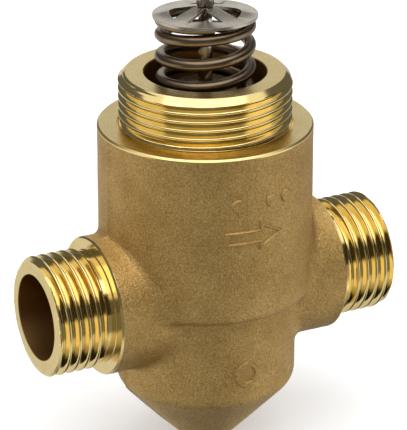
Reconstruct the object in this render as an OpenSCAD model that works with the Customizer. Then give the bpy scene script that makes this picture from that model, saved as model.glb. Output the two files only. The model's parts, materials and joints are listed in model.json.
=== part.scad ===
// Two-port globe valve with a spring-returned stem. Millimetres, +Z up along the stem.
// The ports lie along X, flow runs from the -X port under the seat to the +X port.
// The origin is on the stem axis, at the lowest point of the body.

/* [Body] */
// Distance between the two port faces
face_to_face = 65; // [62:0.5:70]
// Height of the port axis above the lowest point
port_h = 28.6; // [28:0.1:30]
// Outer diameter of the upper body
upper_d = 37.2; // [36:0.1:38.5]
// Outer diameter of the lower body
lower_d = 31.6; // [30.6:0.1:32.4]
// Angle of the closed bottom cone from horizontal
cone_angle = 46.9; // [44:0.1:49]
// Outer diameter of the cast necks behind the ports
neck_d = 24.3; // [23:0.1:25]
// Height of the stand-off shoulder above the port axis
shoulder_h = 30.3; // [29.5:0.1:30.5]

/* [Ports] */
// Major diameter of the port threads, nominal half inch pipe
port_thread_d = 20.955; // [20.8:0.005:21]
// Bore of the ports
port_bore_d = 15; // [14:0.1:15.5]
// Length from the port face to the machined neck shoulder
port_tail = 10.6; // [10:0.1:11]
// Radius of the undercut's floor behind the port thread
port_groove_r = 9.85; // [9.6:0.05:10]
// Width of the undercut between thread and shoulder
port_undercut = 2.2; // [1.5:0.1:2.5]

/* [Actuator collar] */
// Major diameter of the collar thread, nominal M30
collar_d = 29.9; // [29.6:0.05:30]
// Height of the collar face above the shoulder
collar_len = 9.15; // [9:0.05:10]
// Bore of the collar
collar_bore_d = 21; // [20.8:0.1:21.5]
// Radius of the undercut's floor below the collar thread
collar_groove_r = 13.9; // [13.7:0.05:14.1]

/* [Stem and spring] */
// Full stroke of the stem
travel = 4; // [3:0.1:4.5]
// Stem diameter
stem_d = 2.4; // [2.2:0.1:2.5]
// Diameter of the push button at the top of the stem
button_d = 3; // [2.8:0.1:3.2]
// Length of the push button
button_len = 2.6; // [2:0.05:4]
// Outer diameter of the spring retainer
retainer_d = 18; // [17.4:0.1:18.2]
// Sheet thickness of the spring retainer
retainer_t = 0.5; // [0.4:0.02:0.7]
// Height of the retainer rim above the shoulder
retainer_h = 18.91; // [18:0.01:19.5]
// Rise of the retainer's hub above its rim
hub_rise = 1.35; // [1:0.01:1.8]
// Azimuth of the first retainer window
window_azimuth = -117; // [-180:1:180]
// Outer diameter of the spring
spring_d = 17.3; // [16.6:0.05:17.4]
// Wire diameter of the spring
wire_d = 2.05; // [1.6:0.05:2.1]
// Number of free turns of the spring
free_turns = 3.7; // [3.5:0.1:4.6]

/* [Seat] */
// Bore of the seat ring
seat_bore_d = 13; // [12:0.1:13.2]
// Height of the seat lip above the port axis
seat_h = 3.6; // [3.4:0.1:4]

/* [Hidden] */
$fn = 96;

CAST_BRASS = [0.66, 0.52, 0.31];
MACHINED_BRASS = [0.86, 0.72, 0.36];
STAINLESS = [0.66, 0.65, 0.62];
SPRING_STEEL = [0.42, 0.37, 0.31];
BLACK_RUBBER = [0.05, 0.05, 0.05];
WHITE_RESIN = [0.9, 0.89, 0.85];

slip = 0.05;                             // gap between nested or sliding pieces
touch = 0.02;                            // gap between faces that bear on each other
eps = 0.5;                               // overlap that makes a cut run past a face

half_span = face_to_face / 2;
shoulder_z = port_h + shoulder_h;
collar_top_z = shoulder_z + collar_len;
neck_end = half_span - port_tail;
thread_chamfer = 0.55;

// Inside of the body, heights above the lowest point
bonnet_r = 10;
bonnet_depth = 10.3;                     // how far the bonnet reaches below the shoulder
bonnet_groove_r = 8.3;                   // floor of the groove for the bonnet's O-ring
flange_z = shoulder_z - 1.6;             // ledge that carries the bonnet flange
insert_z = shoulder_z - bonnet_depth;
chamber_roof_z = insert_z - 0.5;
web_top_z = port_h + 3;
web_bottom_z = port_h - 1;
passage_reach = 10.2;                    // how far a chamber keeps clear of the port axis
port_bore_end = 11.8;                    // inner end of the round port bore, from the stem axis
chamber_r = 14.5;
lower_chamber_r = 12.3;
throat_r = 9.2;
lip_z = port_h + seat_h;
seat_ring_r = 8;

// Stack on the bonnet
flange_t = 1.5;
washer_z = flange_z + flange_t;
washer_t = 0.5;
spring_z = washer_z + washer_t + touch;
tower_r = 5;                             // hollow boss round the stem, inside the spring
tower_z = washer_z + 4.2;
gland_r = 2.9;                           // bore for the packing, and the height of its floor
gland_z = washer_z - 5.2;
wiper_r = 2.6;
stem_r = stem_d / 2;
guide_r = stem_r + slip;

// Retainer and stem heights
rim_top_z = shoulder_z + retainer_h + retainer_t;
rim_bottom_z = rim_top_z - retainer_t;
hub_top_z = rim_top_z + hub_rise;
button_z = hub_top_z + 0.24;            // the short cone under it holds the retainer down
button_top_z = button_z + button_len;
spring_len = rim_bottom_z - touch - spring_z;
plug_z = lip_z + touch + travel;         // underside of the seal when fully open
seal_t = 2;
seal_r = 7.25;
plug_len = 3.8;
plug_top_z = plug_z + plug_len;
cone_len = 4.4;
plug_washer_t = 0.4;
plug_washer_z = plug_z - cone_len - touch - plug_washer_t;
stem_foot_z = plug_z - cone_len - 2.6;
stud_r = 0.95;                           // threaded end that carries the plug
clip_groove_z = insert_z - touch;        // top of the groove for the clip that stops the stem
clip_groove_w = 0.7;
clip_groove_r = stem_r - 0.25;

// Points of an arc about c, from angle a to angle b
function arc(c, r, a, b, n = 8) =
    [for (i = [0:n]) c + r * [cos(a + (b - a) * i / n), sin(a + (b - a) * i / n)]];

module tube(r_out, r_in, z, h) {
    difference() {
        translate([0, 0, z]) cylinder(r = r_out, h = h);
        translate([0, 0, z - eps]) cylinder(r = r_in, h = h + 2 * eps);
    }
}

// A seal ring whose round section just fills the gap between r_in and r_out
module o_ring(r_in, r_out, z) {
    translate([0, 0, z])
        rotate_extrude() translate([(r_in + r_out) / 2, 0]) circle(d = r_out - r_in, $fn = 32);
}

// Turns a shape about Z onto the port axis, side is -1 for the inlet and 1 for the outlet
module on_port(side) {
    translate([0, 0, port_h]) rotate([0, side * 90, 0]) children();
}

// ---------- valve body ----------

module body_turned() {
    upper_r = upper_d / 2;
    lower_r = lower_d / 2;
    nose_r = 4.4;
    nose_c = [2.72, nose_r];
    knee_r = 3.4;
    knee_x = lower_r - knee_r;
    knee_c = [knee_x, nose_c[1] + (knee_x - nose_c[0]) * tan(cone_angle)
              + (knee_r - nose_r) / cos(cone_angle)];
    step_r = 2;
    step_c = [upper_r - step_r, port_h + 1.4];
    step_in = upper_r - step_r - lower_r;
    edge = 0.3;
    collar_r = collar_d / 2;
    collar_chamfer = 1.25;
    corner_r = 0.85;                     // round corner of the undercut, cut into the shoulder
    corner_c = [collar_groove_r + corner_r, shoulder_z + 0.2];
    thread_start_z = corner_c[1] + 0.5;
    profile = concat(
        [[0, 0]],
        arc(nose_c, nose_r, -90, cone_angle - 90),
        arc(knee_c, knee_r, cone_angle - 90, 0),
        arc([lower_r + step_in, step_c[1] - step_r - step_in], step_in, 180, 90, 4),
        arc(step_c, step_r, -90, 0),
        [[upper_r, shoulder_z - edge], [upper_r - edge, shoulder_z]],
        arc(corner_c, corner_r, asin((shoulder_z - corner_c[1]) / corner_r), -180),
        [[collar_r, thread_start_z], [collar_r, collar_top_z - collar_chamfer],
         [collar_r - collar_chamfer, collar_top_z], [0, collar_top_z]]);
    rotate_extrude() polygon(profile);
}

// Cast neck with the machined shoulder, undercut and threaded tail of one port
module port_outside(side) {
    neck_r = neck_d / 2;
    neck_start = 5;                      // inside the body, short of the stem axis
    edge = 0.3;
    thread_r = port_thread_d / 2;
    lead_in = thread_r - port_groove_r;
    on_port(side) rotate_extrude() polygon([
        [0, neck_start], [neck_r, neck_start], [neck_r, neck_end - edge], [neck_r - edge, neck_end],
        [port_groove_r, neck_end], [port_groove_r, neck_end + port_undercut - lead_in],
        [thread_r, neck_end + port_undercut], [thread_r, half_span - thread_chamfer],
        [thread_r - thread_chamfer, half_span], [0, half_span]]);
}

// Straight bore of a port and the sloped passage on to its chamber
module port_inside(side) {
    bore_r = port_bore_d / 2;
    mouth = 0.4;
    ramp_r = 5.6;
    ramp_start = 20;
    ramp_run = 14;
    ramp_rise = 12;
    on_port(side) {
        translate([0, 0, port_bore_end]) cylinder(r = bore_r, h = half_span);
        translate([0, 0, half_span - mouth])
            cylinder(r1 = bore_r, r2 = bore_r + mouth + eps, h = mouth + eps);
    }
    translate([side * ramp_start, 0, port_h])
        rotate([0, -side * atan2(ramp_run, side * ramp_rise), 0])
            cylinder(r = ramp_r, h = norm([ramp_run, ramp_rise]));
}

// The half of a port's bore that runs on to the throat, above or below the seat web
module port_throat(side) {
    intersection() {
        on_port(side) cylinder(r = port_bore_d / 2, h = neck_end);
        translate([-half_span, -half_span, side > 0 ? web_top_z : 0])
            cube([face_to_face, face_to_face, side > 0 ? port_h : web_bottom_z]);
    }
}

// Everything that is turned or cored about the stem axis, from the sump to the collar mouth
module body_inside() {
    sump_z = 6;
    sump_r = 7.3;
    bevel_z = 11;
    lower_roof_z = port_h - passage_reach;
    upper_floor_z = port_h + passage_reach;
    hole_r = 7;
    pocket_r = seat_ring_r + touch;
    collar_bore_r = collar_bore_d / 2;
    rotate_extrude() polygon([
        [0, sump_z], [sump_r, sump_z], [lower_chamber_r, bevel_z],
        [lower_chamber_r, lower_roof_z], [throat_r, lower_roof_z],
        [throat_r, web_bottom_z], [hole_r, web_bottom_z], [hole_r, port_h],
        [pocket_r, port_h], [pocket_r, web_top_z], [throat_r, web_top_z],
        [throat_r, upper_floor_z], [chamber_r, upper_floor_z],
        [chamber_r, chamber_roof_z - 4], [bonnet_r, chamber_roof_z],
        [bonnet_r, flange_z], [collar_bore_r, flange_z],
        [collar_bore_r, collar_top_z + eps], [0, collar_top_z + eps]]);
    for (side = [-1, 1]) {
        port_inside(side);
        port_throat(side);
    }
}

// Raised flow arrow, port dots and a round foundry pad on one flank, as flat outlines in XZ
module flank_marks_outline() {
    arrow_z = port_h + 15.8;
    dots_z = port_h + 21.7;
    pad_z = port_h - 11.2;
    difference() {
        translate([0, arrow_z]) arrow_outline(0);
        translate([0, arrow_z]) arrow_outline(0.55);
    }
    translate([-3.2, dots_z]) circle(d = 2.2);
    for (x = [3.2, 6.4]) translate([x, dots_z]) circle(d = 2.2);
    translate([0, pad_z]) difference() {
        circle(d = 4.6);
        circle(d = 3);
    }
}

// Arrow pointing to +X, drawn smaller by the rim width
module arrow_outline(rim) {
    tail = -5.4 + rim;
    neck = 0.8 + rim;
    tip = 5.5 - 1.5 * rim;
    shaft = 1.15 - rim / 2;
    wing = 2.6 - 1.6 * rim;
    polygon([[tail, -shaft], [neck, -shaft], [neck, -wing], [tip, 0], [neck, wing],
             [neck, shaft], [tail, shaft]]);
}

module flank_marks() {
    relief = 0.3;
    intersection() {
        translate([0, upper_d / 2 + 1, 0]) rotate([90, 0, 0])
            linear_extrude(upper_d + 2) flank_marks_outline();
        union() {
            translate([0, 0, port_h + 4])
                tube(upper_d / 2 + relief, upper_d / 2 - 1, 0, shoulder_h - 6);
            translate([0, 0, port_h - 16]) tube(lower_d / 2 + relief, lower_d / 2 - 1, 0, 12);
        }
    }
}

module valve_body() {
    color(CAST_BRASS) difference() {
        union() {
            body_turned();
            for (side = [-1, 1]) port_outside(side);
            flank_marks();
        }
        body_inside();
    }
}

module seat_ring() {
    bore_r = seat_bore_d / 2;
    color(STAINLESS) rotate_extrude() polygon([
        [bore_r, port_h + touch], [seat_ring_r, port_h + touch], [seat_ring_r, web_top_z],
        [seat_ring_r - 0.8, lip_z],
        [bore_r + 0.3, lip_z], [bore_r, lip_z - 0.3]]);
}

// ---------- bonnet and stem packing, all fixed in the body ----------

module bonnet_insert() {
    groove_z = insert_z + 2;
    groove_w = 2;
    flange_r = collar_bore_d / 2 - slip;
    slot_w = 2.6;                        // four key slots in the flange's rim
    slot_depth = 1.3;
    color(MACHINED_BRASS) difference() {
        union() {
            cylinder_to(bonnet_r - slip, insert_z, washer_z - 1);
            cylinder_to(flange_r, flange_z + touch, washer_z);
            cylinder_to(tower_r, washer_z - 1, tower_z);
        }
        tube(bonnet_r + 1, bonnet_groove_r, groove_z, groove_w);
        cylinder_to(guide_r, insert_z - 1, tower_z);
        cylinder_to(gland_r, gland_z, tower_z + 1);
        for (a = [45:90:315]) rotate(a)
            translate([flange_r - slot_depth, -slot_w / 2, flange_z - eps])
                cube([2 * slot_depth, slot_w, flange_t + 2 * eps]);
    }
}

module cylinder_to(r, z0, z1) {
    translate([0, 0, z0]) cylinder(r = r, h = z1 - z0);
}

module bonnet_o_ring() {
    color(BLACK_RUBBER) o_ring(bonnet_groove_r + touch, bonnet_r - touch, insert_z + 3);
}

module lower_guide_bush() {
    color(WHITE_RESIN) tube(gland_r - touch, guide_r, gland_z + touch, 2);
}

module lower_stem_o_ring() {
    color(BLACK_RUBBER) o_ring(guide_r, gland_r - touch, gland_z + 2.95);
}

module gland_spacer() {
    color(WHITE_RESIN) tube(gland_r - touch, guide_r, gland_z + 3.9, 0.9);
}

module upper_stem_o_ring() {
    color(BLACK_RUBBER) o_ring(guide_r, gland_r - touch, gland_z + 5.75);
}

module upper_guide_ring() {
    color(WHITE_RESIN) tube(gland_r - touch, guide_r, gland_z + 6.7, tower_z - gland_z - 6.75);
}

module gland_nut() {
    nut_af = 10.8;
    nut_z = washer_z + 1.2;
    color(MACHINED_BRASS) difference() {
        cylinder_to(nut_af / 2 / cos(30), nut_z, tower_z + 2.4, $fn = 6);
        cylinder_to(tower_r + slip, nut_z - 1, tower_z + slip);
        cylinder_to(guide_r + 0.2, tower_z - 1, tower_z + 4);
        cylinder_to(wiper_r, tower_z - 1, tower_z + 1.3);
    }
}

module stem_wiper() {
    color(BLACK_RUBBER) tube(wiper_r - touch, guide_r, tower_z + slip, 1.2);
}

module spring_washer() {
    color(STAINLESS) tube(8.7, 5.3, washer_z + touch, washer_t - touch);
}

// ---------- return spring ----------

// Height of the wire centre above the spring's foot after t turns
function coil_z(t, turns, closed, rise, sunk) =
    t < 1 ? -sunk + closed * t
    : t > turns - 1 ? -sunk + closed + rise + closed * (t - turns + 1)
    : -sunk + closed + rise * (t - 1) / (turns - 2);

module return_spring() {
    turns = free_turns + 2;
    sides = 8;
    steps_per_turn = 20;
    steps = ceil(turns * steps_per_turn);
    wire_r = wire_d / 2;
    coil_r = (spring_d - wire_d) / 2;
    sunk = 0.15;                         // how far the wire's ends run into the ground faces
    closed = 1.015 * wire_d;             // rise of the first and last turn
    rise = spring_len + 2 * sunk - 2 * closed;
    end_azimuth = -106;
    points = [for (i = [0:steps], k = [0:sides - 1])
        let (t = turns * i / steps,
             a = end_azimuth - 360 * (turns - t),
             ring = coil_r + wire_r * cos(360 * k / sides))
        [ring * cos(a), ring * sin(a),
         coil_z(t, turns, closed, rise, sunk) + wire_r * sin(360 * k / sides)]];
    walls = [for (i = [0:steps - 1], k = [0:sides - 1])
        let (next = (k + 1) % sides)
        [i * sides + k, (i + 1) * sides + k, (i + 1) * sides + next, i * sides + next]];
    foot = [for (k = [0:sides - 1]) k];
    head = [for (k = [sides - 1:-1:0]) steps * sides + k];
    color(SPRING_STEEL) translate([0, 0, spring_z]) intersection() {
        polyhedron(points, concat(walls, [foot, head]), convexity = 10);
        cylinder(d = spring_d + 2, h = spring_len);
    }
}

// ---------- moving pieces, all carried by the stem ----------

module spring_retainer() {
    cone_r = 6.1;                        // where the raised cone meets the flat rim
    hub_r = 1.7;
    hole_r = stem_r + touch;
    window_r = 6.1;
    window_base = 5.29;
    window_half = 3.03;
    window_tip = 1.6;
    flare = window_half * (window_r - window_tip) / (window_base - window_tip);
    color(STAINLESS) difference() {
        rotate_extrude() polygon([
            [hole_r, hub_top_z - retainer_t], [hub_r, hub_top_z - retainer_t],
            [cone_r, rim_bottom_z], [retainer_d / 2, rim_bottom_z],
            [retainer_d / 2, rim_top_z], [cone_r, rim_top_z],
            [hub_r, hub_top_z], [hole_r, hub_top_z]]);
        for (q = [0:3]) rotate(window_azimuth + 90 * q) translate([0, 0, rim_bottom_z - 1])
            linear_extrude(4) intersection() {
                circle(r = window_r);
                polygon([[window_tip, 0], [window_r, flare], [window_r, -flare]]);
            }
    }
}

module stem() {
    button_r = button_d / 2;
    edge = 0.3;
    color(STAINLESS) rotate_extrude() polygon([
        [0, stem_foot_z], [stud_r - edge, stem_foot_z], [stud_r, stem_foot_z + edge],
        [stud_r, plug_top_z], [stem_r, plug_top_z],
        [stem_r, clip_groove_z - clip_groove_w], [clip_groove_r, clip_groove_z - clip_groove_w],
        [clip_groove_r, clip_groove_z], [stem_r, clip_groove_z],
        [stem_r, hub_top_z + touch], [button_r, button_z], [button_r, button_top_z - edge],
        [button_r - edge, button_top_z], [0, button_top_z]]);
}

module stem_circlip() {
    clip_t = 0.6;
    clip_r = 2.5;
    gap = 1.8;
    color(STAINLESS) difference() {
        tube(clip_r, clip_groove_r + touch, clip_groove_z - touch - clip_t, clip_t);
        translate([0, -gap / 2, insert_z - 3]) cube([2 * clip_r, gap, 4]);
    }
}

module valve_plug() {
    plug_r = 8;
    skirt_z = plug_z + 0.8;
    hub_z = plug_top_z - 1.4;
    color(MACHINED_BRASS) rotate_extrude() polygon([
        [stud_r + touch, plug_z + seal_t + touch], [seal_r + touch, plug_z + seal_t + touch],
        [seal_r + touch, skirt_z], [plug_r - 0.2, skirt_z], [plug_r, skirt_z + 0.2],
        [plug_r, hub_z - 0.4], [plug_r - 0.4, hub_z], [3, hub_z],
        [2.6, plug_top_z - touch], [stud_r + touch, plug_top_z - touch]]);
}

module plug_seal() {
    color(BLACK_RUBBER) tube(seal_r, stud_r + touch, plug_z, seal_t);
}

// Contoured piece under the seal that meters the flow through the seat
module throttle_cone() {
    top_r = seat_bore_d / 2 - 0.3;
    color(MACHINED_BRASS) rotate_extrude() polygon([
        [stud_r + touch, plug_z - cone_len], [3.4, plug_z - cone_len],
        [4.6, plug_z - cone_len + 1.2], [top_r - 0.5, plug_z - 1.4], [top_r, plug_z - 0.6],
        [top_r, plug_z - touch], [stud_r + touch, plug_z - touch]]);
}

module plug_washer() {
    color(STAINLESS) tube(2.6, stud_r + touch, plug_washer_z, plug_washer_t);
}

module plug_nut() {
    nut_af = 4;
    nut_t = 1.6;
    nut_z = plug_washer_z - touch - nut_t;
    color(STAINLESS) difference() {
        cylinder_to(nut_af / 2 / cos(30), nut_z, nut_z + nut_t, $fn = 6);
        cylinder_to(stud_r + touch, nut_z - 1, nut_z + nut_t + 1);
    }
}

valve_body();
seat_ring();
bonnet_insert();
bonnet_o_ring();
lower_guide_bush();
lower_stem_o_ring();
gland_spacer();
upper_stem_o_ring();
upper_guide_ring();
gland_nut();
stem_wiper();
spring_washer();
return_spring();
spring_retainer();
stem();
stem_circlip();
valve_plug();
plug_seal();
throttle_cone();
plug_washer();
plug_nut();
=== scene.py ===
import json
import math

import bmesh
import bpy
import numpy as np
from mathutils import Matrix, Vector
from mathutils.geometry import delaunay_2d_cdt


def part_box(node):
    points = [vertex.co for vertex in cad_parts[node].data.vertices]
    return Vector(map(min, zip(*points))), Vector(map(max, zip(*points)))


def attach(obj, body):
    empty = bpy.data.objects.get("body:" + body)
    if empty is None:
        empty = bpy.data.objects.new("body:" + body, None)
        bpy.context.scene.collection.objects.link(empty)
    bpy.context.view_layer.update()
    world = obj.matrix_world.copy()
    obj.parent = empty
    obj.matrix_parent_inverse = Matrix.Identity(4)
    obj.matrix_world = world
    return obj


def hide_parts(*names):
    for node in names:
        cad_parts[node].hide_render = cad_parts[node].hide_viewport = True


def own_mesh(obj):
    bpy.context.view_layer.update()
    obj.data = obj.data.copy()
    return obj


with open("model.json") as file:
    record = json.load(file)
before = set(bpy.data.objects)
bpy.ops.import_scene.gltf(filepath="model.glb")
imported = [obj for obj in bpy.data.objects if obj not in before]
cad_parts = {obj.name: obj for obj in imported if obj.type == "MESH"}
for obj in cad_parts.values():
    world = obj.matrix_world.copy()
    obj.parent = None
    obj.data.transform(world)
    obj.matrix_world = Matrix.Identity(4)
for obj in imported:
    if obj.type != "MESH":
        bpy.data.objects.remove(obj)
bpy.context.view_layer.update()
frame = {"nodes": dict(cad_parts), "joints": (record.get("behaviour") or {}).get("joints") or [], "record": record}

# Lengths below are in millimetres in the frame's axes: +Z up the stem, +X towards the outlet.
MM = 0.001

# ---------- dimensions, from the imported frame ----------

MOUNTS = {m["name"]: m for m in frame["record"]["mounts"]}


def mount_mm(name):
    return Vector(MOUNTS[name]["pos_m"]) / MM


def box_mm(node):
    low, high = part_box(node)
    return low / MM, high / MM


BODY_HIGH = box_mm("valve_body")[1]
PORT_H = mount_mm("port_ab_thread").z
HALF_SPAN = BODY_HIGH.x
PORT_THREAD_R = MOUNTS["port_ab_thread"]["dims"]["r_mm"]
COLLAR_THREAD_R = MOUNTS["actuator_thread"]["dims"]["r_mm"]
SHOULDER_Z = mount_mm("actuator_shoulder").z
COLLAR_TOP_Z = BODY_HIGH.z
BONNET_ABOVE_LEDGE = 5.7
LEDGE_Z = box_mm("bonnet_insert")[1].z - BONNET_ABOVE_LEDGE

UPPER_R = 18.6
LOWER_R = 15.8
CONE_ANGLE = math.radians(46.9)
NECK_R = 12.15
NECK_END = HALF_SPAN - 10.6
PORT_BORE_R = 7.5
COLLAR_BORE_R = 10.5

COLLAR_PITCH = 1.5                      # M30x1.5
COLLAR_CREST_Z = PORT_H + 37.0 + COLLAR_PITCH * 117 / 360
PORT_PITCH = 1.814                      # G 1/2, 14 threads per inch
PORT_CREST_X = 31.1

CAMERA_AZIMUTH = math.radians(-27.22)
CAMERA_ELEVATION = math.radians(22.92)
CAMERA_DISTANCE = 0.5253
CAMERA_LENS = 253.3
AIM_ABOVE_PORTS = 12.73
AIM_LEFT = 0.29

# The casting stops just short of the turned edges; separate turned pieces carry on from there
CAST_TOP_Z = SHOULDER_Z - 0.5
CAST_NECK_X = NECK_END - 0.35


# ---------- mesh helpers ----------

def new_object(name, points_mm, faces, material, body, sharp_deg=35):
    """A smooth-shaded piece that rides on a body, from points in millimetres."""
    mesh = bpy.data.meshes.new(name)
    mesh.from_pydata((np.asarray(points_mm) * MM).tolist(), [], faces)
    return finish_object(name, mesh, material, body, sharp_deg)


def finish_object(name, mesh, material, body, sharp_deg=35):
    """Welds and shades a mesh and makes it a piece of that body and slot."""
    bm = bmesh.new()
    bm.from_mesh(mesh)
    bmesh.ops.remove_doubles(bm, verts=bm.verts, dist=2e-7)
    bmesh.ops.recalc_face_normals(bm, faces=bm.faces)
    bm.to_mesh(mesh)
    bm.free()
    mesh.shade_smooth()
    mesh.set_sharp_from_angle(angle=math.radians(sharp_deg))
    mesh.materials.append(material)
    piece = bpy.data.objects.new(name, mesh)
    bpy.context.scene.collection.objects.link(piece)
    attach(piece, body)
    return piece


def arc(centre, radius, start_deg, end_deg, count=10):
    """Points of an arc, both ends included."""
    angles = np.radians(np.linspace(start_deg, end_deg, count + 1))
    return [(centre[0] + radius * math.cos(a), centre[1] + radius * math.sin(a)) for a in angles]


def ramp(low, high, value):
    """Smooth step from 0 at low to 1 at high."""
    t = np.clip((value - low) / (high - low), 0, 1)
    return t * t * (3 - 2 * t)


# ---------- signed distance fields for the casting ----------

def polygon_distance(outline, x, y):
    """Signed distance from points to a closed outline, negative inside."""
    best = np.full(x.shape, np.inf)
    inside = np.zeros(x.shape, bool)
    for (ax, ay), (bx, by) in zip(outline, outline[1:] + outline[:1]):
        ex, ey = bx - ax, by - ay
        wx, wy = x - ax, y - ay
        t = np.clip((wx * ex + wy * ey) / (ex * ex + ey * ey + 1e-12), 0, 1)
        best = np.minimum(best, (wx - t * ex) ** 2 + (wy - t * ey) ** 2)
        if ay != by:
            inside ^= ((ay > y) != (by > y)) & (x < ex * (y - ay) / (by - ay) + ax)
    return np.where(inside, -1, 1) * np.sqrt(best)


def round_union(a, b, radius):
    """Union of two fields with a fillet of that radius where they meet."""
    lift = np.hypot(np.maximum(radius - a, 0), np.maximum(radius - b, 0))
    return np.maximum(radius, np.minimum(a, b)) - lift


def tube_distance(x, y, z, start, end, radius):
    """Distance to a round bar between two points in the XZ plane."""
    sx, sz = start
    dx, dz = end[0] - sx, end[1] - sz
    t = np.clip(((x - sx) * dx + (z - sz) * dz) / (dx * dx + dz * dz), 0, 1)
    return np.sqrt((x - sx - t * dx) ** 2 + y ** 2 + (z - sz - t * dz) ** 2) - radius


def cast_outline():
    """Half section of the casting about the stem, from the foot of the cone upwards."""
    nose_r, knee_r, step_r = 4.4, 3.4, 2
    nose = (2.72, nose_r)
    knee_x = LOWER_R - knee_r
    knee_z = (nose[1] + (knee_x - nose[0]) * math.tan(CONE_ANGLE)
              + (knee_r - nose_r) / math.cos(CONE_ANGLE))
    cone_deg = math.degrees(CONE_ANGLE)
    step = (UPPER_R - step_r, PORT_H + 1.4)
    inner = UPPER_R - step_r - LOWER_R
    return ([(-5, 0)] + arc(nose, nose_r, -90, cone_deg - 90)
            + arc((knee_x, knee_z), knee_r, cone_deg - 90, 0)
            + arc((LOWER_R + inner, step[1] - step_r - inner), inner, 180, 90, 5)
            + arc(step, step_r, -90, 0) + [(UPPER_R, CAST_TOP_Z + 2.5), (-5, CAST_TOP_Z + 2.5)])


def cavity_outline():
    """Half section of the chambers, the seat web and the bonnet bore."""
    throat, roof, web = 9.2, PORT_H + 10.2, PORT_H + 3
    return [(-5, 6), (7.3, 6), (12.3, 11), (12.3, PORT_H - 10.2), (throat, PORT_H - 10.2),
            (throat, PORT_H - 1), (7, PORT_H - 1), (7, PORT_H), (8.02, PORT_H), (8.02, web),
            (throat, web), (throat, roof), (14.5, roof), (14.5, SHOULDER_Z - 14.8),
            (10, SHOULDER_Z - 10.8), (10, LEDGE_Z), (COLLAR_BORE_R, LEDGE_Z),
            (COLLAR_BORE_R, CAST_TOP_Z + 9), (-5, CAST_TOP_Z + 9)]


def arrow_outline(rim):
    """Flow arrow towards +X, drawn smaller by rim."""
    tail, neck, tip = -5.4 + rim, 0.8 + rim, 5.5 - 1.5 * rim
    shaft, wing = 1.15 - rim / 2, 2.6 - 1.6 * rim
    return [(tail, -shaft), (neck, -shaft), (neck, -wing), (tip, 0), (neck, wing), (neck, shaft),
            (tail, shaft)]


MARK_RELIEF = 0.3
MARK_EDGE = 0.1
ARROW_Z = PORT_H + 15.8
DOTS_Z = PORT_H + 21.7
PAD_Z = PORT_H - 11.2


def mark_relief(x, y, z):
    """Height of the raised arrow, dots and foundry ring on both flanks."""
    flat = np.maximum(polygon_distance(arrow_outline(0), x, z - ARROW_Z),
                      -polygon_distance(arrow_outline(0.55), x, z - ARROW_Z))
    for dot_x in (-3.2, 3.2, 6.4):
        flat = np.minimum(flat, np.hypot(x - dot_x, z - DOTS_Z) - 1.1)
    flat = np.minimum(flat, np.abs(np.hypot(x, z - PAD_Z) - 1.9) - 0.4)
    return MARK_RELIEF * ramp(MARK_EDGE, -MARK_EDGE, flat) * (np.abs(y) > 8)


def parting_relief(y, z):
    """Low ridge where the two halves of the mould met, ground off at the foot of the cone."""
    return 0.25 * np.exp(-(y / 0.4) ** 2) * ramp(1, 5, z)


def cast_waviness(x, y, z):
    """Slow, shallow unevenness of a sand casting, never above the true surface."""
    swell = np.sin(0.75 * x + 1.3) * np.sin(0.67 * z + 0.4)
    return 0.012 * (swell + np.sin(0.81 * y + 0.41 * z + 2) * np.sin(0.58 * x - 0.72 * z) - 2)


CAST_OUTLINE = cast_outline()
CAVITY_OUTLINE = cavity_outline()
FILLET_R = 1.3


def casting_field(points, with_marks=True):
    """Signed distance to the casting: outside shape less the chambers and passages."""
    x, y, z = points.T
    around_stem = np.hypot(x, y)
    around_port = np.hypot(y, z - PORT_H)
    body = polygon_distance(CAST_OUTLINE, around_stem, z)
    neck = np.maximum(around_port - NECK_R, np.abs(x) - CAST_NECK_X - 2.5)
    outside = round_union(body, neck, FILLET_R)
    fade = ramp(0, 1.5, CAST_TOP_Z - z) * ramp(0, 1.5, CAST_NECK_X - np.abs(x))
    outside = outside - fade * (parting_relief(y, z) + cast_waviness(x, y, z))
    if with_marks:
        outside = outside - mark_relief(x, y, z)
    cavity = polygon_distance(CAVITY_OUTLINE, around_stem, z)
    for side in (-1, 1):
        along = x * side
        cavity = np.minimum(cavity, np.maximum(around_port - PORT_BORE_R, 11.8 - along))
        cavity = np.minimum(cavity, tube_distance(along, y, side * (z - PORT_H), (20, 0), (6, 12), 5.6))
        web = 3 - (z - PORT_H) if side > 0 else (z - PORT_H) + 1
        cavity = np.minimum(cavity, np.maximum.reduce([around_port - PORT_BORE_R, -along - 1, web]))
    return np.maximum(outside, -cavity)


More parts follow.
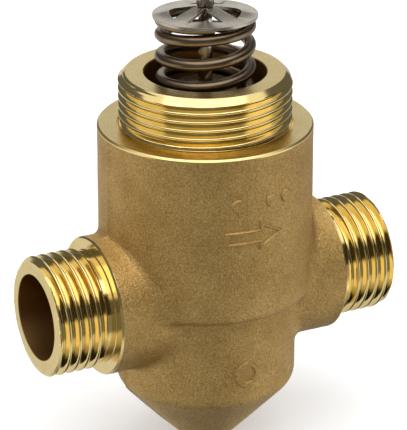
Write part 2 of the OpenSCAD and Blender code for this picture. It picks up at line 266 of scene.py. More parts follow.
def surface_net(field, low, high, cell):
    """Quad mesh of a field's zero surface on a regular grid."""
    axes = [np.arange(a, b + cell, cell) for a, b in zip(low, high)]
    grid = np.stack(np.meshgrid(*axes, indexing="ij"), -1)
    value = field(grid.reshape(-1, 3)).reshape(grid.shape[:3])
    cells = np.array(value.shape) - 1
    total = np.zeros((*cells, 3))
    count = np.zeros(cells)
    quads = []
    for axis in range(3):
        start = np.moveaxis(np.moveaxis(value, axis, 0)[:-1], 0, axis)
        end = np.moveaxis(np.moveaxis(value, axis, 0)[1:], 0, axis)
        crossing = (start < 0) != (end < 0)
        index = np.argwhere(crossing)
        share = start[crossing] / (start[crossing] - end[crossing])
        step = np.zeros((len(index), 3))
        step[:, axis] = share
        place = np.array(low) + (index + step) * cell
        u, v = (axis + 1) % 3, (axis + 2) % 3
        around = []
        for du, dv in ((0, 0), (-1, 0), (-1, -1), (0, -1)):
            near = index.copy()
            near[:, u] += du
            near[:, v] += dv
            np.add.at(total, tuple(near.T), place)
            np.add.at(count, tuple(near.T), 1)
            around.append(near)
        around = np.stack(around, 1)
        leaving = start[crossing] < 0
        around[~leaving] = around[~leaving][:, ::-1]
        quads.append(around)
    used = count > 0
    number = np.full(tuple(cells), -1)
    number[used] = np.arange(used.sum())
    points = total[used] / count[used][:, None]
    quads = np.concatenate(quads)
    return points, number[tuple(np.moveaxis(quads, -1, 0))]


def settle(points, rounds=4, reach=0.02):
    """Moves points onto the casting's surface, marks included."""
    points = points.copy()
    for _ in range(rounds):
        slope = np.stack([casting_field(points + step, False) - casting_field(points - step, False)
                          for step in np.eye(3) * reach], 1) / (2 * reach)
        size = np.maximum((slope ** 2).sum(1), 0.2)
        points -= (casting_field(points) / size)[:, None] * slope
    return points


def in_mark_area(centre):
    """True where the mesh has to be fine enough for the raised marks; centre is in metres."""
    x, y, z = centre
    if abs(y) < 12 * MM:
        return False
    arrow_and_dots = abs(x) < 8.2 * MM and (ARROW_Z - 3.4) * MM < z < (DOTS_Z + 1.8) * MM
    pad = abs(x) < 3.2 * MM and abs(z - PAD_Z * MM) < 3.2 * MM
    return arrow_and_dots or pad


def cut_and_cap(bm, point, normal):
    """Cuts the mesh at a plane and closes the ring that is left."""
    geometry = bm.verts[:] + bm.edges[:] + bm.faces[:]
    bmesh.ops.bisect_plane(bm, geom=geometry, plane_co=point, plane_no=normal, dist=2e-6,
                           clear_outer=True)
    rim = [e for e in bm.edges if e.is_boundary]
    bmesh.ops.triangle_fill(bm, edges=rim, use_beauty=True, normal=normal)


def make_casting(material):
    margin = 1.5
    low = (-CAST_NECK_X - 4, -UPPER_R - margin, -margin)
    high = (CAST_NECK_X + 4, UPPER_R + margin, CAST_TOP_Z + 4)
    points, quads = surface_net(lambda p: casting_field(p, False), low, high,
                                0.42)
    mesh = bpy.data.meshes.new("casting")
    mesh.from_pydata((settle(points) * MM).tolist(), [], quads.tolist())
    bm = bmesh.new()
    bm.from_mesh(mesh)
    marked = {e for f in bm.faces if in_mark_area(f.calc_center_median()) for e in f.edges}
    bmesh.ops.subdivide_edges(bm, edges=list(marked), cuts=3, use_grid_fill=True)
    fine = [v for v in bm.verts if in_mark_area(v.co)]
    places = settle(np.array([v.co for v in fine]) / MM) * MM
    for vertex, place in zip(fine, places):
        vertex.co = place
    cut_and_cap(bm, (0, 0, CAST_TOP_Z * MM), (0, 0, 1))
    cut_and_cap(bm, (CAST_NECK_X * MM, 0, 0), (1, 0, 0))
    cut_and_cap(bm, (-CAST_NECK_X * MM, 0, 0), (-1, 0, 0))
    bm.to_mesh(mesh)
    bm.free()
    return finish_object("body_casting", mesh, material, "housing", 42)


# ---------- turned and threaded parts of the body ----------

class Thread:
    """A right-hand thread. shape lists (distance from the crest's middle, depth) over half a
    pitch, phase is the height of a crest at angle zero."""

    def __init__(self, major, pitch, phase, shape):
        self.major, self.pitch, self.phase, self.shape = major, pitch, phase, shape

    def offsets(self):
        """Heights within one pitch, measured from a crest, at which the mesh has a row."""
        half = [0.0]
        for (a, _), (b, _) in zip(self.shape, self.shape[1:]):
            cuts = max(1, round((b - a) / (0.1)))
            half += [a + (b - a) * i / cuts for i in range(1, cuts + 1)]
        return half + [self.pitch - h for h in reversed(half[1:-1])]

    def depth(self, offset):
        off = np.minimum(offset % self.pitch, -offset % self.pitch)
        return np.interp(off, *zip(*self.shape))


def grid_faces(rows, steps, shows=lambda i, j: True):
    """Quads between successive rows of steps + 1 points, where shows(row, step) is true."""
    across = steps + 1
    return [(i * across + j, i * across + j + 1, (i + 1) * across + j + 1, (i + 1) * across + j)
            for i in range(rows - 1) for j in range(steps) if shows(i, j)]


def turned_thread(envelope, thread, steps):
    """Points and faces of a threaded stretch whose rows follow the helix. envelope lists the
    (radius, height) points of the blank; its two ends lie deeper than the thread."""
    heights = [h for _, h in envelope]
    radii = [r for r, _ in envelope]
    low, high = heights[0], heights[-1]
    offsets = thread.offsets()
    first = math.floor((low - thread.phase) / thread.pitch) - 2
    last = math.ceil((high - thread.phase) / thread.pitch) + 1
    rows = [thread.phase + turn * thread.pitch + off for turn in range(first, last) for off in offsets]
    angle = np.linspace(0, 2 * math.pi, steps + 1)
    height = np.array(rows)[:, None] + thread.pitch * angle[None, :] / (2 * math.pi)
    cut = thread.major - thread.depth(np.array(rows) - thread.phase)
    inside = np.clip(height, low, high)
    radius = np.minimum(np.interp(inside, heights, radii), cut[:, None])
    points = np.stack([radius * np.cos(angle), radius * np.sin(angle), inside], -1)

    def in_reach(i, j):
        corner_heights = height[i:i + 2, j:j + 2]
        return corner_heights.max() > low and corner_heights.min() < high

    return points.reshape(-1, 3), grid_faces(len(rows), steps, in_reach)


def turned_blank(profile, steps):
    """Points and faces of an open profile of (radius, height) turned about Z."""
    angle = np.linspace(0, 2 * math.pi, steps + 1)
    rows = [np.stack([r * np.cos(angle), r * np.sin(angle), np.full(steps + 1, float(h))], 1)
            for r, h in profile]
    return np.concatenate(rows), grid_faces(len(profile), steps)


def joined(*parts):
    """One list of points and one of faces from several (points, faces) pairs."""
    points, faces, start = [], [], 0
    for part_points, part_faces in parts:
        points.append(part_points)
        faces += [tuple(start + i for i in face) for face in part_faces]
        start += len(part_points)
    return np.concatenate(points), faces


# From the crest's middle to the root's middle: rounded crest, straight flank, rounded root
M30_SHAPE = [(0, 0), (0.05, 0.004), (0.1, 0.02), (0.15, 0.05), (0.2, 0.1),
             (0.57, 0.74), (0.65, 0.85), (0.75, 0.9)]
G_HALF_SHAPE = [(0, 0), (0.07, 0.01), (0.14, 0.045), (0.21, 0.11),
                (0.7, 1.05), (0.78, 1.12), (0.907, 1.162)]


def make_collar(material):
    """The shoulder, its undercut, the actuator thread and the upper bore."""
    steps, chamfer = 320, 1.25
    groove_r, corner_r, edge = 14.05, 0.6, 0.3
    corner = (groove_r + corner_r, SHOULDER_Z + 0.2)
    reach = math.degrees(math.asin((SHOULDER_Z - corner[1]) / corner_r))
    thread = Thread(COLLAR_THREAD_R, COLLAR_PITCH, COLLAR_CREST_Z, M30_SHAPE)
    foot = (groove_r, corner[1])
    head = (COLLAR_THREAD_R - chamfer, COLLAR_TOP_Z)
    blank = ([(COLLAR_BORE_R, CAST_TOP_Z), (UPPER_R, CAST_TOP_Z), (UPPER_R, SHOULDER_Z - edge),
              (UPPER_R - edge, SHOULDER_Z)] + arc(corner, corner_r, reach, -180, 12)[:-1] + [foot])
    mouth = [head, (COLLAR_BORE_R + 0.15, COLLAR_TOP_Z), (COLLAR_BORE_R, COLLAR_TOP_Z - 0.15),
             (COLLAR_BORE_R, CAST_TOP_Z)]
    envelope = [foot, (COLLAR_THREAD_R, foot[1] + 0.5),
                (COLLAR_THREAD_R, COLLAR_TOP_Z - chamfer), head]
    points, faces = joined(turned_blank(blank, steps), turned_thread(envelope, thread, steps),
                           turned_blank(mouth, steps))
    return new_object("collar_thread", points, faces, material, "housing")


def make_port(name, side, material):
    """A turned port end, built along +Z and laid over: side is 1 for the outlet, -1 for the inlet."""
    steps = 288
    groove_r, chamfer, edge = 9.85, 0.55, 0.3
    tail = NECK_END + 2.2
    foot = (groove_r, tail - PORT_THREAD_R + groove_r)
    head = (PORT_THREAD_R - 1.2, HALF_SPAN)
    thread = Thread(PORT_THREAD_R, PORT_PITCH, PORT_CREST_X, G_HALF_SHAPE)
    blank = [(PORT_BORE_R, CAST_NECK_X), (NECK_R, CAST_NECK_X), (NECK_R, NECK_END - edge),
             (NECK_R - edge, NECK_END), (groove_r + 0.15, NECK_END), (groove_r, NECK_END + 0.15), foot]
    mouth = [head, (PORT_BORE_R + 0.1, HALF_SPAN), (PORT_BORE_R, HALF_SPAN - 0.1),
             (PORT_BORE_R, CAST_NECK_X)]
    envelope = [foot, (PORT_THREAD_R, tail), (PORT_THREAD_R, HALF_SPAN - chamfer),
                (PORT_THREAD_R - chamfer, HALF_SPAN - 0.005), head]
    points, faces = joined(turned_blank(blank, steps), turned_thread(envelope, thread, steps),
                           turned_blank(mouth, steps))
    turned = Matrix.Translation((0, 0, PORT_H)) @ Matrix.Rotation(side * math.pi / 2, 4, "Y")
    points = [turned @ Vector(p) for p in points]
    return new_object(name, points, faces, material, "housing")


# ---------- spring, retainer and stem ----------

# The disc sits a little askew on the spring, tilted about this level axis
TILT = math.radians(2.7)
TILT_AXIS = Vector((math.cos(CAMERA_AZIMUTH), math.sin(CAMERA_AZIMUTH), 0))


def tilt_lift(x, y):
    """How far the tilt raises a point of the retainer's plane."""
    return (x * TILT_AXIS.y - y * TILT_AXIS.x) * math.tan(TILT)


def make_spring(material):
    """A coil with closed, ground ends; its top turn leans with the tilted disc."""
    low, high = box_mm("return_spring")
    foot, length = low.z, high.z - low.z
    wire_r = 1.025
    coil_r = high.x - wire_r
    turns, sides = 5.7, 24
    per_turn = 72
    sunk = 0.15
    closed = 2.03 * wire_r
    rise = length + 2 * sunk - 2 * closed
    t = np.linspace(0, turns, int(turns * per_turn) + 1)
    height = np.interp(t, [0, 1, turns - 1, turns],
                       [-sunk, closed - sunk, closed - sunk + rise, 2 * closed - sunk + rise])
    angle = math.radians(-106) - 2 * math.pi * (turns - t)
    ring = 2 * math.pi * np.arange(sides) / sides
    out = coil_r + wire_r * np.cos(ring)[None, :]
    x, y = out * np.cos(angle)[:, None], out * np.sin(angle)[:, None]
    stroke = frame["joints"][0]["range_m"][1] / MM
    keep = 1 - stroke / length
    lift = tilt_lift(x, y)
    lift = np.where(lift < 0, lift / keep, lift) - 0.01     # so the disc stays clear when pressed down
    settled = ramp(turns - 2.2, turns - 0.9, t)[:, None]
    up = np.minimum(height[:, None] + wire_r * np.sin(ring)[None, :] + settled * lift, length + lift)
    points = np.stack([x, y, foot + np.maximum(up, 0)], -1)
    last = len(t) - 1
    faces = [(i * sides + k, i * sides + (k + 1) % sides, (i + 1) * sides + (k + 1) % sides,
              (i + 1) * sides + k) for i in range(last) for k in range(sides)]
    faces += [tuple(range(sides)), tuple(last * sides + k for k in range(sides - 1, -1, -1))]
    piece = new_object("return_spring_wire", points.reshape(-1, 3), faces, material, "housing",
                       40)
    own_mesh(piece)
    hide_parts("return_spring")
    return piece


def make_retainer(material):
    """The stamped disc: four windows, and between them ribs that rise to the hub."""
    low, high = box_mm("spring_retainer")
    rim_r, sheet = high.x, 0.5
    hub_rise = high.z - low.z - sheet
    hole_r, hub_r = 1.32, 1.6
    window_tip, window_base, window_half, window_r = 1.6, 5.29, 3.03, 6.1
    half = half_window_angle(window_tip, window_base, window_half, window_r)
    crease = window_r * math.cos(math.pi / 4 - half)
    first_window = math.radians(-117)
    points, edges = [], []

    def loop(ring):
        start = len(points)
        points.extend(ring)
        edges.extend((start + i, start + (i + 1) % len(ring)) for i in range(len(ring)))
        return start

    def on_circle(r, angle):
        return Vector((r * math.cos(angle), r * math.sin(angle)))

    def circle(r, count):
        return [on_circle(r, 2 * math.pi * i / count) for i in range(count)]

    loop(circle(rim_r, 200))
    loop(circle(hole_r, 48))
    bends = 14
    windows = []
    for k in range(4):
        turn = k * math.pi / 2
        base = [on_circle(window_r, turn - half + 2 * half * i / bends) for i in range(bends + 1)]
        windows.append(loop([on_circle(window_tip, turn)] + base))
    for k in range(4):
        edges.append((windows[k] + bends + 1, windows[(k + 1) % 4] + 1))
    found, _, triangles, *_ = delaunay_2d_cdt(points, edges, [], 0, 1e-6)

    def is_open(centre):
        if centre.length < hole_r or centre.length > rim_r:
            return True
        x, y = max(abs(centre.x), abs(centre.y)), min(abs(centre.x), abs(centre.y))
        wide = window_half * (x - window_tip) / (window_base - window_tip)
        return x > window_tip and y < wide and centre.length < window_r

    def height(p):
        along = max(abs(p.x + p.y), abs(p.x - p.y)) / math.sqrt(2)
        share = (crease - along) / (crease - hub_r)
        return hub_rise * min(max(share, 0), 1)

    spin = Matrix.Rotation(first_window, 3, "Z")
    lean = Matrix.Rotation(-TILT, 3, TILT_AXIS)
    placed = [(lean @ (spin @ Vector((p.x, p.y, height(p)))) + Vector((0, 0, low.z + sheet))) * MM
              for p in found]
    kept = [f for f in triangles if not is_open(sum((found[i] for i in f), Vector((0, 0))) / len(f))]
    mesh = bpy.data.meshes.new("retainer")
    mesh.from_pydata(placed, [], kept)
    bm = bmesh.new()
    bm.from_mesh(mesh)
    bmesh.ops.delete(bm, geom=[v for v in bm.verts if not v.link_faces], context="VERTS")
    bm.to_mesh(mesh)
    bm.free()
    piece = finish_object("spring_retainer_disc", mesh, material, "stem_assembly", 20)
    solid = piece.modifiers.new("sheet", "SOLIDIFY")
    solid.thickness = sheet * MM
    solid.offset = -1
    bevel = piece.modifiers.new("edges", "BEVEL")
    bevel.width = 0.08 * MM
    bevel.segments = 2
    bevel.angle_limit = math.radians(50)
    apply_modifiers(piece, 20)
    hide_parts("spring_retainer")
    return piece


def half_window_angle(tip, base, half, radius):
    """Half the angle that a window's flared sides span where they meet its round base."""
    slope = half / (base - tip)
    # x**2 + (slope * (x - tip))**2 = radius**2
    a, b, c = 1 + slope ** 2, -2 * slope ** 2 * tip, slope ** 2 * tip ** 2 - radius ** 2
    x = (-b + math.sqrt(b * b - 4 * a * c)) / (2 * a)
    return math.acos(x / radius)


def apply_modifiers(piece, sharp_deg):
    """Makes the modified mesh the piece's own."""
    depsgraph = bpy.context.evaluated_depsgraph_get()
    mesh = bpy.data.meshes.new_from_object(piece.evaluated_get(depsgraph))
    piece.modifiers.clear()
    piece.data = mesh
    mesh.shade_smooth()
    mesh.set_sharp_from_angle(angle=math.radians(sharp_deg))


# ---------- materials ----------

def new_material(name, metallic, roughness, colour):
    """A material, its nodes, its links and its Principled shader."""
    material = bpy.data.materials.new(name)
    material.use_nodes = True
    nodes, links = material.node_tree.nodes, material.node_tree.links
    shader = nodes["Principled BSDF"]
    shader.inputs["Metallic"].default_value = metallic
    shader.inputs["Roughness"].default_value = roughness
    shader.inputs["Base Color"].default_value = (*colour, 1)
    return material, nodes, links, shader


def noise(nodes, links, source, scale, detail=3, roughness=0.6):
    node = nodes.new("ShaderNodeTexNoise")
    node.inputs["Scale"].default_value = scale
    node.inputs["Detail"].default_value = detail
    node.inputs["Roughness"].default_value = roughness
    links.new(source, node.inputs["Vector"])
    return node.outputs["Fac"]


def colour_ramp(nodes, links, fac, stops):
    node = nodes.new("ShaderNodeValToRGB")
    elements = node.color_ramp.elements
    while len(elements) < len(stops):
        elements.new(0.5)
    for element, (place, colour) in zip(elements, stops):
        element.position = place
        element.color = (*colour, 1)
    links.new(fac, node.inputs["Fac"])
    return node.outputs["Color"]


def map_range(nodes, links, value, low, high):
    """Stretches 0 to 1 into low to high."""
    node = nodes.new("ShaderNodeMapRange")
    node.inputs["To Min"].default_value = low
    node.inputs["To Max"].default_value = high
    links.new(value, node.inputs["Value"])
    return node.outputs["Result"]


def math_node(nodes, links, operation, a, b=None):
    node = nodes.new("ShaderNodeMath")
    node.operation = operation
    for socket, value in zip(node.inputs, (a, b)):
        if value is None:
            continue
        if isinstance(value, (int, float)):
            socket.default_value = value
        else:
            links.new(value, socket)
    return node.outputs[0]


def add_bump(nodes, links, shader, height, distance, strength=1.0, under=None):
    """Bump of that distance in metres, on top of the bump passed as under."""
    node = nodes.new("ShaderNodeBump")
    node.inputs["Distance"].default_value = distance
    node.inputs["Strength"].default_value = strength
    links.new(height, node.inputs["Height"])
    if under is not None:
        links.new(under, node.inputs["Normal"])
    links.new(node.outputs["Normal"], shader.inputs["Normal"])
    return node.outputs["Normal"]


def beyond(nodes, links, value, low, high):
    """0 below low, 1 above high, smooth in between."""
    node = nodes.new("ShaderNodeMapRange")
    node.interpolation_type = "SMOOTHSTEP"
    node.inputs["From Min"].default_value = low
    node.inputs["From Max"].default_value = high
    links.new(value, node.inputs["Value"])
    return node.outputs["Result"]


def mix_colour(nodes, links, factor, a, b):
    node = nodes.new("ShaderNodeMix")
    node.data_type = "RGBA"
    links.new(factor, node.inputs["Factor"])
    for socket, colour in zip((s for s in node.inputs if s.type == "RGBA"), (a, b)):
        if isinstance(colour, tuple):
            socket.default_value = (*colour, 1)
        else:
            links.new(colour, socket)
    return next(s for s in node.outputs if s.type == "RGBA")


def distance_from_axis(nodes, links, where, axis, centre):
    """Distance of a point from the line through centre along X (axis 0) or Z (axis 2), and the
    place along it."""
    shift = nodes.new("ShaderNodeVectorMath")
    shift.operation = "SUBTRACT"
    links.new(where, shift.inputs[0])
    shift.inputs[1].default_value = centre
    parts = nodes.new("ShaderNodeSeparateXYZ")
    links.new(shift.outputs[0], parts.inputs[0])
    squares = [math_node(nodes, links, "MULTIPLY", parts.outputs[i], parts.outputs[i])
               for i in range(3) if i != axis]
    radius = math_node(nodes, links, "SQRT", math_node(nodes, links, "ADD", *squares))
    return radius, parts.outputs[axis]


PAINTED_BORE_SHADE = (0.55, 0.32, 0.11)          # brass darkened inside the bores: painted shade


def cast_brass():
    """Sand-cast, shot-blasted brass: matte and grainy, with painted shade darkening it inside the ports."""
    material, nodes, links, shader = new_material("cast_brass", 0.85, 0.5, (0.5, 0.33, 0.13))
    where = nodes.new("ShaderNodeTexCoord").outputs["Object"]
    grain = noise(nodes, links, where, 3300, 4, 0.62)
    patches = noise(nodes, links, where, 140, 3, 0.6)
    tone = math_node(nodes, links, "ADD", math_node(nodes, links, "MULTIPLY", grain, 0.75),
                     math_node(nodes, links, "MULTIPLY", patches, 0.25))
    colour = colour_ramp(nodes, links, tone, [(0.32, (0.39, 0.235, 0.07)), (0.5, (0.63, 0.405, 0.135)),
                                              (0.68, (0.89, 0.64, 0.26))])
    radius, _ = distance_from_axis(nodes, links, where, 0, (0, 0, PORT_H * MM))
    outside = beyond(nodes, links, radius, (PORT_BORE_R + 0.1) * MM, (PORT_BORE_R + 0.5) * MM)
    # painted shade: inside the port bores the colour turns dark brown
    links.new(mix_colour(nodes, links, outside, PAINTED_BORE_SHADE, colour), shader.inputs["Base Color"])
    links.new(map_range(nodes, links, grain, 0.46, 0.6), shader.inputs["Roughness"])
    coarse = noise(nodes, links, where, 1100, 3, 0.6)
    low = add_bump(nodes, links, shader, coarse, 0.00018)
    add_bump(nodes, links, shader, grain, 0.00015, under=low)
    return material


def turned_brass(name, axis, centre, bore_r, thread_from, thread_to):
    """Bright turned brass. axis is 0 for a part turned about X and 2 about Z, centre a point on
    its axis in metres; fine tool marks run round it. Inside bore_r it is rougher and darkened
    with painted shade, and between the two thread radii it is glossier than on its faces."""
    material, nodes, links, shader = new_material(name, 1.0, 0.2, (0.82, 0.6, 0.22))
    where = nodes.new("ShaderNodeTexCoord").outputs["Object"]
    radius, along = distance_from_axis(nodes, links, where, axis, centre)
    path = math_node(nodes, links, "ADD", radius, math_node(nodes, links, "ABSOLUTE", along))
    join = nodes.new("ShaderNodeCombineXYZ")
    links.new(path, join.inputs[0])
    marks = noise(nodes, links, join.outputs[0], 9000, 2, 0.5)
    stain = noise(nodes, links, where, 260, 3, 0.6)
    colour = colour_ramp(nodes, links, stain, [(0.3, (0.82, 0.63, 0.25)), (0.7, (0.9, 0.71, 0.32))])
    outside = beyond(nodes, links, radius, (bore_r + 0.03) * MM, (bore_r + 0.12) * MM)
    # painted shade: inside bore_r the colour turns dark brown
    links.new(mix_colour(nodes, links, outside, PAINTED_BORE_SHADE, colour), shader.inputs["Base Color"])
    threaded = math_node(nodes, links, "SUBTRACT",
                         beyond(nodes, links, radius, (thread_from - 0.05) * MM,
                                (thread_from + 0.05) * MM),
                         beyond(nodes, links, radius, (thread_to + 0.05) * MM,
                                (thread_to + 0.3) * MM))
    gloss = map_range(nodes, links, marks, 0.2, 0.34)
    gloss = math_node(nodes, links, "SUBTRACT", gloss,
                      math_node(nodes, links, "MULTIPLY", threaded, 0.15))
    dull = math_node(nodes, links, "MULTIPLY", math_node(nodes, links, "SUBTRACT", 1, outside), 0.12)
    links.new(math_node(nodes, links, "ADD", gloss, dull), shader.inputs["Roughness"])
    add_bump(nodes, links, shader, marks, 0.00001, 0.6)
    return material


def painted_shade_brass():
    """Brass darkened with painted shade, on the bonnet and gland nut deep inside the collar."""
    material, nodes, links, shader = new_material("painted_shade_brass", 1.0, 0.45, (0.2, 0.13, 0.06))
    where = nodes.new("ShaderNodeTexCoord").outputs["Object"]
    stain = noise(nodes, links, where, 500, 4, 0.6)
    # painted shade: the base colour is kept very dark because these parts sit deep in the collar
    links.new(colour_ramp(nodes, links, stain, [(0.35, (0.1, 0.065, 0.03)), (0.65, (0.26, 0.18, 0.08))]),
              shader.inputs["Base Color"])
    links.new(map_range(nodes, links, stain, 0.35, 0.55), shader.inputs["Roughness"])
    return material


def steel(name, colour, roughness, grain_scale=4000, bump=0.0):
    """Plain steel with faint slow stains and a fine variation of gloss."""
    material, nodes, links, shader = new_material(name, 1.0, roughness, colour)
    where = nodes.new("ShaderNodeTexCoord").outputs["Object"]
    grain = noise(nodes, links, where, grain_scale, 2, 0.5)
    slow = noise(nodes, links, where, 400, 3, 0.5)
    dark = tuple(c * 0.82 for c in colour)
    links.new(colour_ramp(nodes, links, slow, [(0.3, dark), (0.7, colour)]), shader.inputs["Base Color"])
    links.new(map_range(nodes, links, grain, roughness * 0.8, roughness * 1.25),
              shader.inputs["Roughness"])
    if bump:
        add_bump(nodes, links, shader, grain, bump, 0.4)
    return material


def soft_material(name, colour, roughness):
    material, nodes, links, shader = new_material(name, 0.0, roughness, colour)
    where = nodes.new("ShaderNodeTexCoord").outputs["Object"]
    grain = noise(nodes, links, where, 3000, 3, 0.5)
    light = tuple(min(1, c * 1.15 + 0.01) for c in colour)
    links.new(colour_ramp(nodes, links, grain, [(0.35, colour), (0.65, light)]),
              shader.inputs["Base Color"])
    links.new(map_range(nodes, links, grain, roughness - 0.08, roughness + 0.08),
              shader.inputs["Roughness"])
    add_bump(nodes, links, shader, grain, 0.00001, 0.6)
    return material


def dress_cad_nodes(materials, special):
    """Gives each CAD node that stays showing its own material or else that of its slot."""
    slots = {s["node"]: s["material_slot"] for s in frame["record"]["subparts"]}
    for name, node in frame["nodes"].items():
        node.data.materials.clear()
        node.data.materials.append(special.get(name, materials[slots[name]]))


# ---------- stage, lights and camera ----------

def make_floor():
    mesh = bpy.data.meshes.new("floor")
    size = 3.0
    mesh.from_pydata([(-size, -size, 0), (size, -size, 0), (size, size, 0), (-size, size, 0)], [],
                     [(0, 1, 2, 3)])
    material, _, _, shader = new_material("floor", 0.0, 0.9, (0.9, 0.9, 0.9))
    shader.inputs["Emission Color"].default_value = (1, 1, 1, 1)
    shader.inputs["Emission Strength"].default_value = 0.4
    mesh.materials.append(material)
    floor = bpy.data.objects.new("floor", mesh)
    bpy.context.scene.collection.objects.link(floor)
    floor.visible_glossy = False
    floor.visible_diffuse = False


def camera_axes():
    """Directions from the object to the camera and to the picture's right."""
    sa, ca = math.sin(CAMERA_AZIMUTH), math.cos(CAMERA_AZIMUTH)
    se, ce = math.sin(CAMERA_ELEVATION), math.cos(CAMERA_ELEVATION)
    return Vector((sa * ce, -ca * ce, se)), Vector((ca, sa, 0))


def make_camera():
    back, right = camera_axes()
    aim = Vector((0, 0, (PORT_H + AIM_ABOVE_PORTS) * MM)) - right * AIM_LEFT * MM
    data = bpy.data.cameras.new("camera")
    data.lens = CAMERA_LENS
    data.sensor_width = 36
    data.clip_start, data.clip_end = 0.05, 20
    camera = bpy.data.objects.new("camera", data)
    bpy.context.scene.collection.objects.link(camera)
    camera.location = aim + back * CAMERA_DISTANCE
    camera.rotation_mode = "QUATERNION"
    camera.rotation_quaternion = (-back).to_track_quat("-Z", "Y")
    bpy.context.scene.camera = camera


def band(nodes, links, value, start, end, soft):
    """1 between start and end, 0 outside, in degrees."""
    rise = beyond(nodes, links, value, start - soft, start + soft)
    fall = beyond(nodes, links, value, end - soft, end + soft)
    return math_node(nodes, links, "SUBTRACT", rise, fall)


def make_studio():
    """One environment: a bright table, a softbox overhead and the room of STUDIO_PATCHES. It is
    fixed in space and gives the brass what it reflects; the camera itself sees plain white."""
    world = bpy.data.worlds.new("world")
    bpy.context.scene.world = world
    world.use_nodes = True
    nodes, links = world.node_tree.nodes, world.node_tree.links
    direction = nodes.new("ShaderNodeTexCoord").outputs["Generated"]
    parts = nodes.new("ShaderNodeSeparateXYZ")
    links.new(direction, parts.inputs[0])
    degrees = 180 / math.pi
    elevation = math_node(nodes, links, "MULTIPLY",
                          math_node(nodes, links, "ARCSINE", parts.outputs[2]), degrees)
    # azimuth from the camera's side, right positive
    turn = nodes.new("ShaderNodeVectorRotate")
    turn.rotation_type = "Z_AXIS"
    turn.inputs["Angle"].default_value = -CAMERA_AZIMUTH
    links.new(direction, turn.inputs["Vector"])
    level = nodes.new("ShaderNodeSeparateXYZ")
    links.new(turn.outputs[0], level.inputs[0])
    toward = math_node(nodes, links, "MULTIPLY", level.outputs[1], -1)
    azimuth = math_node(nodes, links, "MULTIPLY",
                        math_node(nodes, links, "ARCTAN2", level.outputs[0], toward), degrees)
    height = nodes.new("ShaderNodeMapRange")
    height.inputs["From Min"].default_value = -90
    height.inputs["From Max"].default_value = 90
    links.new(elevation, height.inputs["Value"])

    def at(elevation_deg):
        return (elevation_deg + 90) / 180

    def grey(value):
        return (value, value, value)

    total = colour_ramp(nodes, links, height.outputs["Result"], [
        (at(-80), grey(0.05)), (at(-70), grey(0.2)), (at(-60), grey(0.5)), (at(-45), grey(0.75)),
        (at(-3), grey(0.75)), (at(1), grey(0.55)), (at(90), grey(0.55))])
    for start, end, low, high, soft, change in STUDIO_PATCHES:
        across = band(nodes, links, azimuth, start, end, soft)
        up = band(nodes, links, elevation, low, high, soft)
        patch = math_node(nodes, links, "MULTIPLY", across, up)
        patch = math_node(nodes, links, "MULTIPLY", patch, change)
        total = math_node(nodes, links, "ADD", total, patch)
    # round softbox overhead, leaning towards the camera
    back = camera_axes()[0]
    level_back = Vector((back.x, back.y, 0)).normalized()
    centre = level_back * SOFTBOX_TOWARD_CAMERA + Vector((0, 0, SOFTBOX_UP))
    facing = nodes.new("ShaderNodeVectorMath")
    facing.operation = "DOT_PRODUCT"
    links.new(direction, facing.inputs[0])
    facing.inputs[1].default_value = centre
    softbox = beyond(nodes, links, facing.outputs["Value"], math.cos(SOFTBOX_EDGE),
                     math.cos(SOFTBOX_CORE))
    softbox = math_node(nodes, links, "MULTIPLY", softbox, SOFTBOX_BRIGHTNESS)
    total = math_node(nodes, links, "ADD", total, softbox)
    total = math_node(nodes, links, "MAXIMUM", total, DARKEST)
    lighting = nodes["Background"]
    links.new(total, lighting.inputs["Color"])
    seen = nodes.new("ShaderNodeBackground")
    seen.inputs["Color"].default_value = (1, 1, 1, 1)
    path = nodes.new("ShaderNodeLightPath")
    mix = nodes.new("ShaderNodeMixShader")
    links.new(path.outputs["Is Camera Ray"], mix.inputs[0])
    links.new(lighting.outputs[0], mix.inputs[1])
    links.new(seen.outputs[0], mix.inputs[2])
    links.new(mix.outputs[0], nodes["World Output"].inputs["Surface"])


SOFTBOX_TOWARD_CAMERA, SOFTBOX_UP = 0.389, 0.921        # direction of its centre
SOFTBOX_CORE, SOFTBOX_EDGE = math.radians(34), math.radians(42)
SOFTBOX_BRIGHTNESS = 0.9
DARKEST = 0.01

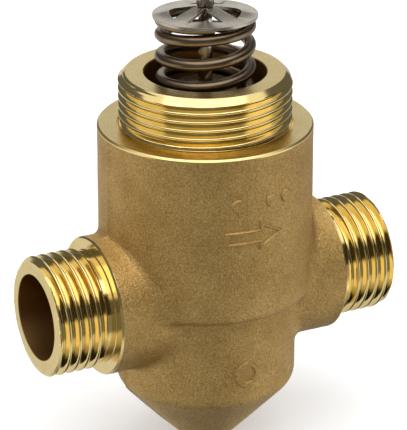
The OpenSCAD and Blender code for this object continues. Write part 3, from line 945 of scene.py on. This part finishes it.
# Parts of the studio that differ from its plain backdrop: azimuth from and to, elevation from
# and to, softness of the edge, all in degrees, and the change of brightness. Azimuth counts
# from the main camera's side, to the right.
STUDIO_PATCHES = [
    (-200, 200, 40, 95, 2, 0.5),         # bright ceiling
    (118, 150, 40, 58, 3, -0.5),         # dim corner of the ceiling, behind on the right
    (15, 110, 1, 40, 2, -0.52),          # dark room in front on the right
    (-80, 15, 1, 40, 2, -0.4),           # dim room in front on the left
    (-163, -80, -3, 40, 2, -0.42),       # dark room behind, on the left and the right
    (110, 163, -3, 40, 2, -0.42),
    (-200, -163, 22.3, 37, 1.5, -0.4),   # gap between the wall behind and the ceiling
    (163, 200, 22.3, 37, 1.5, -0.4),
    (-200, -163, 2, 21.5, 1.5, 0.4),     # bright wall behind
    (163, 200, 2, 21.5, 1.5, 0.4),
    (-58, 58, -34, 0, 4, -0.52),         # dark edge of the table, in front
    (62, 102, -48, -2, 4, 0.5),          # bright reflectors on the right and the left
    (-108, -62, -48, -2, 4, 0.3),
    (105, 200, -50, -2, 6, -0.15),       # dimmer table behind on the right
    (-200, 200, -92, -64, 6, -0.18),     # shadow of the object on the table
    (-40, 40, -62, -34, 5, -0.05),       # slightly dimmer table close in front
]


# ---------- build ----------

make_camera()
make_floor()
make_studio()

collar_brass = turned_brass("turned_brass_z", 2, (0, 0, 0), COLLAR_BORE_R, 13.8, COLLAR_THREAD_R)
port_brass = turned_brass("turned_brass_x", 0, (0, 0, PORT_H * MM), PORT_BORE_R, 9.2, NECK_R)
materials = {
    "cast_brass": cast_brass(),
    "machined_brass": collar_brass,
    "stainless": steel("stainless", (0.53, 0.475, 0.385), 0.26),
    "spring_steel": steel("spring_steel", (0.25, 0.182, 0.115), 0.3, bump=0.000005),
    "black_rubber": soft_material("black_rubber", (0.02, 0.02, 0.02), 0.6),
    "white_resin": soft_material("white_resin", (0.8, 0.78, 0.72), 0.5),
}
brown_brass = painted_shade_brass()
dress_cad_nodes(materials, {"bonnet_insert": brown_brass, "gland_nut": brown_brass,
                            "stem": steel("ground_steel", (0.68, 0.63, 0.55), 0.12, 12000)})

body_pieces = [
    make_casting(materials["cast_brass"]),
    make_collar(collar_brass),
    make_port("port_a_thread", -1, port_brass),
    make_port("port_ab_thread", 1, port_brass),
]
for piece in body_pieces:
    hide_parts("valve_body")
make_spring(materials["spring_steel"])
make_retainer(materials["stainless"])

scene = bpy.context.scene
scene.view_settings.view_transform = "Standard"
